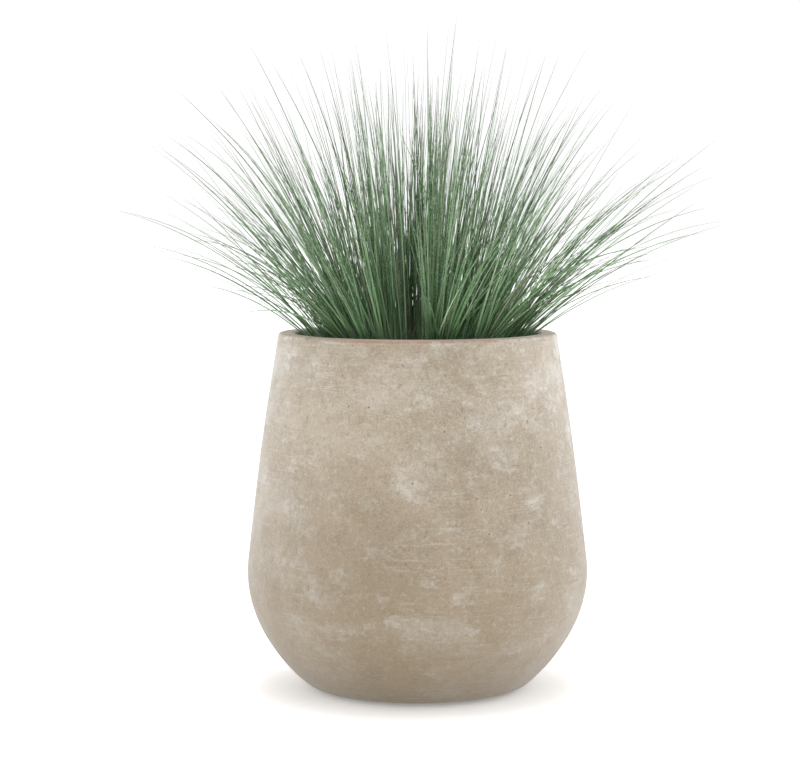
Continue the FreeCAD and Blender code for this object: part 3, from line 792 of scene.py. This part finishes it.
def compost():
    """Dark peat, drier and browner in crumbs, with bark and white perlite by their tones."""
    earth = Finish("compost", roughness=0.95, specular=0.2)
    tone = earth.painted("crumb_tone")
    crumbs = earth.clouds(260.0, detail=7.0, rough=0.7)
    damp = earth.clouds(14.0, detail=4.0)
    base = earth.shades(crumbs, [(0.34, paint(30, 22, 16)), (0.55, paint(62, 46, 34)),
                                 (0.72, paint(92, 70, 52))])
    base = earth.over(base, paint(34, 25, 19), earth.ease(damp, 0.45, 0.65, 0.0, 0.6))
    bark = earth.ease(tone, 0.55, 0.80, 0.0, 0.7)
    base = earth.over(base, paint(112, 78, 52), bark)
    base = earth.over(base, paint(226, 222, 212), earth.ease(tone, 0.90, 0.93))
    earth.colour(base)
    earth.dullness(earth.ease(damp, 0.4, 0.65, 0.95, 0.7))
    earth.emboss(crumbs, 0.0022)
    return earth.material


def loose_top():
    """The soil's body, roughened, and the crumbs, bark and perlite lying on it."""
    dice = np.random.default_rng(SOIL_SEED)
    points, facing, faces = fine_copy("soil", SOIL_MESH)
    for index, place in enumerate(points):
        on_top = place[2] > SOIL_TOP - 0.004 and facing[index, 2] > 0.4
        lump = noise.noise(Vector(place) * 60.0) + 0.6 * noise.noise(Vector(place) * 150.0)
        depth = 0.0030 * lump - 0.0010 if on_top else -0.0006 - 0.0006 * abs(lump)
        points[index] = place + facing[index] * depth
    body = (points, faces, np.zeros(len(points)))

    places, facing = spread_over("soil", CRUMB_GAP, CRUMB_TRIES, dice)
    on_top = (facing[:, 2] > 0.9) & (places[:, 2] > SOIL_TOP - 0.002)
    places = places[on_top]
    radii = dice.uniform(0.0012, 0.0033, len(places))
    places = places + np.stack([np.zeros(len(places)), np.zeros(len(places)), -0.2 * radii], 1)
    points, crumb_faces, tones = lumps_at(places, radii, dice, 0.22, flat=0.5)
    tones = np.where(tones > 1.0 - PERLITE_SHARE, 1.0, tones * 0.85)
    return join_lists(body, (points, crumb_faces, tones))


soil_points, soil_faces, soil_tones = loose_top()
soil = new_piece("potting_soil", soil_points, soil_faces, compost())
give_tone(soil, "crumb_tone", soil_tones)
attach(soil, "insert")
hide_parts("soil")


# ---------------------------------------------------------------- root balls
# Each tuft was grown in a small pot of its own, and its roots have kept that pot's shape: a
# trunk of a cone, peat held together by pale roots that wander round its side.

ROOT_COLUMNS = 44
ROOT_ROWS = 22
ROOT_TAPER = 0.007              # how much narrower a ball's foot is than its top
ROOT_INSET = 0.0012             # peat to the skin of the ball's box
ROOT_SEED = 100
ROOT_FIBRES = 34
FIBRE_STEPS = 26
FIBRE_SIDES = 5
FIBRE_RADIUS = 0.0007
BALLS = 7


def matted_roots():
    """Damp peat where the tone is dark, and pale root where it is light."""
    mat = Finish("matted_roots", roughness=0.92, specular=0.2)
    tone = mat.painted("root_tone")
    crumbs = mat.clouds(300.0, detail=6.0, rough=0.7)
    peat = mat.shades(crumbs, [(0.35, paint(40, 30, 22)), (0.7, paint(88, 66, 48))])
    pale = mat.shades(crumbs, [(0.3, paint(166, 142, 104)), (0.7, paint(214, 196, 160))])
    mat.colour(mat.over(peat, pale, tone))
    mat.emboss(crumbs, 0.0012)
    return mat.material


def root_fibre(spine, radii):
    """A closed tapering root along a spine: points and faces."""
    sides = FIBRE_SIDES
    along = np.gradient(spine, axis=0)
    along /= np.linalg.norm(along, axis=1)[:, None]
    aside = np.cross(along, (0.31, 0.17, 0.93))
    aside /= np.linalg.norm(aside, axis=1)[:, None]
    other = np.cross(along, aside)
    angle = np.arange(sides) * 2.0 * math.pi / sides
    ring = (aside[:, None] * np.cos(angle)[None, :, None]
            + other[:, None] * np.sin(angle)[None, :, None])
    points = (spine[:, None] + ring * radii[:, None, None]).reshape(-1, 3)
    faces = [[row * sides + side, row * sides + (side + 1) % sides,
              (row + 1) * sides + (side + 1) % sides, (row + 1) * sides + side]
             for row in range(len(spine) - 1) for side in range(sides)]
    faces.append(list(range(sides))[::-1])
    faces.append(list(range(len(points) - sides, len(points))))
    return points, faces


def root_mass(low, high, dice):
    """One root ball inside its box: the peat's lumpy trunk and the roots round it."""
    middle = (low + high) / 2.0
    top = (high.x - low.x) / 2.0
    foot = top - ROOT_TAPER
    up = np.linspace(low.z + ROOT_INSET, high.z - ROOT_INSET, ROOT_ROWS)
    side = foot + (top - foot) * (up - low.z) / (high.z - low.z) - ROOT_INSET
    floor = np.linspace(0.0, side[0], 7)[:-1]
    lid = np.linspace(side[-1], 0.0, 7)[1:]
    outline = np.concatenate([np.stack([floor, np.full(6, up[0])], 1), np.stack([side, up], 1),
                              np.stack([lid, np.full(6, up[-1])], 1)])
    points, faces = capped(outline, ROOT_COLUMNS)
    for index, place in enumerate(points):
        sunk = 1.0 - 0.03 * abs(noise.noise(Vector(place) * 90.0 + middle * 40.0))
        points[index] = (place[0] * sunk, place[1] * sunk, place[2])
    parts = [(points, faces, np.zeros(len(points)))]
    for _ in range(ROOT_FIBRES):
        start = dice.uniform(0.05, 0.9)
        climb = np.cumsum(dice.normal(0.0, 0.022, FIBRE_STEPS))
        level = np.clip(start + climb, 0.02, 0.97)
        turn = (dice.uniform(0.0, 2.0 * math.pi)
                + np.cumsum(dice.normal(dice.choice((-0.09, 0.09)), 0.05, FIBRE_STEPS)))
        reach = foot + (top - foot) * level - FIBRE_RADIUS - ROOT_INSET * 0.5
        spine = np.stack([reach * np.cos(turn), reach * np.sin(turn),
                          low.z + level * (high.z - low.z)], 1)
        thickness = FIBRE_RADIUS * np.linspace(1.0, 0.35, FIBRE_STEPS)
        points, faces = root_fibre(spine, thickness)
        parts.append((points, faces, np.ones(len(points))))
    points, faces, tones = join_lists(*parts)
    return points + np.array([middle.x, middle.y, 0.0]), faces, tones


root_finish = matted_roots()
for ball in range(1, BALLS + 1):
    node = "root_ball_%d" % ball
    points, faces, tones = root_mass(*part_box(node), np.random.default_rng(ROOT_SEED + ball))
    mass = new_piece("root_mass_%d" % ball, points, faces, root_finish)
    give_tone(mass, "root_tone", tones)
    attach(mass, "insert")
    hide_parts(node)


# ---------------------------------------------------------------- grass
# Seven tufts of ornamental grass stand close together and fan out over the lip as one clump.
# Each blade is folded along its middle, a few millimetres wide at its foot and drawn out to a
# hair at its tip; most are a dusty grey-green, and some have dried to a purplish brown.

GRASS_SEED = 31
BUNCHES = 92
BLADES_IN_BUNCH = 15
WIDEST_LEAN = math.radians(62.0)
WIDEST_REACH = 0.436            # from the clump's middle to its furthest tip
HIGHEST_TIP = 0.94
GOLDEN_TURN = math.pi * (3.0 - math.sqrt(5.0))
CLUMP_REACH = 0.134             # from the middle of the clump to its outermost bunch
CROWN_INSET = 0.006             # edge of a root ball to the crown of its tuft
CROWN_HEIGHT = 0.015
BLADE_STEPS = 14
STUBBLE = 40                    # short broken blades on each crown
LONG_SHARE = 0.12               # blades that outgrow their bunch
STRAY_SHARE = 0.14              # blades that turn away from their bunch
DRIED_SHARE = 0.05
SHADED_SHARE = 0.31
LIP_ROOM = 0.005                # a blade stays this clear of the lip
mouth_radius = RIM_RADIUS - POT_WALL
tuft_middles = []
for tuft in range(1, BALLS + 1):
    low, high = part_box("root_ball_%d" % tuft)
    tuft_middles.append(np.array([(low.x + high.x) / 2.0, (low.y + high.y) / 2.0]))
crown_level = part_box("root_ball_1")[1].z
crown_radius = (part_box("root_ball_1")[1].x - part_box("root_ball_1")[0].x) / 2.0 - CROWN_INSET


def grass_leaf():
    """Waxy blue-green leaf, painted paler low down as painted light, greyer at its tip and frosted
    with light dots.
    """
    leaf = Finish("grass_leaf", roughness=0.5, specular=0.5)
    tone = leaf.painted("blade_tone")
    along = leaf.painted("blade_along")
    green = leaf.shades(tone, [(0.0, paint(104, 92, 62)), (0.07, paint(122, 108, 96)),
                               (0.14, paint(36, 66, 30)), (0.45, paint(76, 112, 65)),
                               (0.75, paint(108, 146, 98)), (1.0, paint(172, 200, 162))])
    streaks = leaf.clouds(60.0, detail=4.0, rough=0.6)
    green = leaf.over(green, paint(82, 110, 76), leaf.ease(streaks, 0.45, 0.7, 0.0, 0.35))
    green = leaf.over(green, paint(84, 92, 58), leaf.ease(along, 0.09, 0.0, 0.0, 0.6))
    # painted light: the lower part of each blade, shaded by the others, is painted paler
    green = leaf.over(green, paint(150, 182, 142), leaf.ease(along, 0.34, 0.10, 0.0, 0.42))
    green = leaf.over(green, paint(112, 120, 104), leaf.ease(along, 0.6, 1.0, 0.0, 0.7))
    frost = leaf.ease(leaf.clouds(330.0, detail=2.0), 0.50, 0.62, 0.0, 0.30)
    frost = leaf.times(frost, leaf.ease(along, 0.2, 0.5))
    green = leaf.over(green, paint(204, 222, 198), frost)
    leaf.colour(green)
    leaf.dullness(leaf.ease(streaks, 0.3, 0.7, 0.42, 0.6))
    leaf.emboss(leaf.clouds(400.0, detail=3.0), 0.00008)
    return leaf.material


def blade(root, way, lean, droop, length, width, dice):
    """One folded, tapering blade: its spine, points, faces and how far along each point is."""
    share = np.linspace(0.0, 1.0, BLADE_STEPS + 1)
    angle = lean + droop * share ** 1.4
    outward = np.array([math.cos(way), math.sin(way), 0.0])
    aside = np.array([-math.sin(way), math.cos(way), 0.0])
    heading = np.outer(np.sin(angle), outward) + np.outer(np.cos(angle), (0.0, 0.0, 1.0))
    spine = np.zeros((BLADE_STEPS + 1, 3))
    spine[1:] = np.cumsum((heading[1:] + heading[:-1]) / 2.0, axis=0) * length / BLADE_STEPS
    spine += np.outer(share ** 2, aside) * dice.normal(0.0, 0.035) * length
    spine += root
    facing = np.cross(heading, aside)
    twist = dice.uniform(-1.2, 1.2) + dice.normal(0.0, 0.9) * share
    across = aside * np.cos(twist)[:, None] + facing * np.sin(twist)[:, None]
    back = facing * np.cos(twist)[:, None] - aside * np.sin(twist)[:, None]
    half = width / 2.0 * np.maximum((1.0 - share) ** 0.62, 0.05)
    half[0] *= 0.8
    corners = np.stack([spine - across * half[:, None] + back * 0.30 * half[:, None],
                        spine - back * 0.10 * half[:, None],
                        spine + across * half[:, None] + back * 0.30 * half[:, None],
                        spine - back * 0.45 * half[:, None]], 1)
    points = corners.reshape(-1, 3)
    faces = [[row * 4 + side, row * 4 + (side + 1) % 4,
              (row + 1) * 4 + (side + 1) % 4, (row + 1) * 4 + side]
             for row in range(BLADE_STEPS) for side in range(4)]
    faces.append([3, 2, 1, 0])
    faces.append([BLADE_STEPS * 4 + side for side in range(4)])
    return spine, points, faces, np.repeat(share, 4)


def clears_lip(spine):
    """Whether a blade passes inside the pot's mouth and over its lip."""
    out = np.hypot(spine[:, 0], spine[:, 1])
    inside = out < mouth_radius - LIP_ROOM
    above = spine[:, 2] > LIP_LEVEL + LIP_ROOM
    return bool(np.all(inside | above))


def standing_blade(root, way, lean, droop, length, width, dice):
    """A blade that clears the lip and stays in the clump: if need be it stands up, or is cut."""
    while True:
        made = blade(root, way, lean, droop, length, width, dice)
        spine = made[0]
        reach = math.hypot(spine[-1, 0], spine[-1, 1])
        if reach > WIDEST_REACH or spine[-1, 2] > HIGHEST_TIP:
            length *= 0.95
        elif clears_lip(spine) or lean < 0.05:
            return made
        else:
            lean -= 0.06
            droop *= 0.93


def in_crown(tuft, place):
    """The place, moved into the crown of a tuft if it lies outside."""
    step = place - tuft_middles[tuft]
    far = np.linalg.norm(step)
    most = crown_radius - 0.004
    return tuft_middles[tuft] + step * min(1.0, most / max(far, 1e-9))


def crown(tuft, dice):
    """The dense foot of a tuft: a low mound of old leaf bases with short stubble on it."""
    out = np.linspace(0.0, crown_radius - 0.0015, 12)
    foot = np.stack([out[::3], np.full(4, crown_level + 0.0002)], 1)
    dome = np.stack([out[::-1], crown_level + 0.002
                     + (CROWN_HEIGHT - 0.004) * np.sqrt(1.0 - (out[::-1] / crown_radius) ** 2)], 1)
    points, faces = capped(np.concatenate([foot, dome]), 40)
    points[:, :2] += tuft_middles[tuft]
    for index, place in enumerate(points):
        if place[2] > crown_level + 0.001:
            points[index, 2] += 0.0016 * noise.noise(Vector(place) * 220.0)
    parts = [(points, faces, np.zeros(len(points)), np.zeros(len(points)))]
    for _ in range(STUBBLE):
        turn, far = dice.uniform(0.0, 2.0 * math.pi), crown_radius * math.sqrt(dice.random())
        place = in_crown(tuft, tuft_middles[tuft] + far * np.array([math.cos(turn), math.sin(turn)]))
        root = np.array([place[0], place[1], crown_level + 0.002])
        _, points, faces, along = standing_blade(
            root, turn, dice.uniform(0.05, 0.5), dice.uniform(0.0, 0.5),
            dice.uniform(0.03, 0.075), dice.uniform(0.0018, 0.003), dice)
        parts.append((points, faces, np.full(len(points), dice.choice((0.0, 0.05, 0.3))), along))
    return parts


def clump():
    """The blades of the seven tufts, each tuft's as (points, faces, tones, places along)."""
    dice = np.random.default_rng(GRASS_SEED)
    tufts = [crown(tuft, dice) for tuft in range(BALLS)]
    for bunch in range(BUNCHES):
        share = (bunch + 0.5) / BUNCHES
        lean = WIDEST_LEAN * share ** 1.55
        way = bunch * GOLDEN_TURN + dice.normal(0.0, 0.18)
        out = CLUMP_REACH * share ** 0.6
        middle = out * np.array([math.cos(way), math.sin(way)])
        tuft = int(np.argmin([np.linalg.norm(middle - other) for other in tuft_middles]))
        vigour = dice.uniform(0.74, 1.05)
        count = int(BLADES_IN_BUNCH * dice.uniform(0.7, 1.35))
        for _ in range(count):
            place = in_crown(tuft, middle + dice.normal(0.0, 0.010, 2))
            root = np.array([place[0], place[1], crown_level + 0.004])
            length = vigour * (0.19 + 0.26 * dice.random())
            if dice.random() < LONG_SHARE:
                length *= 1.18
            leaning = max(0.0, lean + dice.normal(0.0, 0.11)) * 0.76
            droop = (0.10 + 0.60 * leaning) * dice.uniform(0.2, 1.5)
            stray = 0.5 if dice.random() < STRAY_SHARE else 0.15
            _, points, faces, along = standing_blade(
                root, way + dice.normal(0.0, stray), leaning, droop, length,
                dice.uniform(0.0020, 0.0034), dice)
            shade = dice.random()
            if shade < DRIED_SHARE:
                tone = 0.07
            elif shade < DRIED_SHARE + SHADED_SHARE:
                tone = dice.uniform(0.14, 0.30)
            else:
                tone = dice.uniform(0.30, 1.0)
            tufts[tuft].append((points, faces, np.full(len(points), tone), along))
    return tufts


leaf_finish = grass_leaf()
for tuft, parts in enumerate(clump(), start=1):
    points, faces, tones = join_lists(*[part[:3] for part in parts])
    grass = new_piece("grass_clump_%d" % tuft, points, faces, leaf_finish,
                      sharp_from=math.radians(75))
    give_tone(grass, "blade_tone", tones)
    give_tone(grass, "blade_along", np.concatenate([part[3] for part in parts]))
    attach(grass, "insert")
    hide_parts("grass_tuft_%d" % tuft)
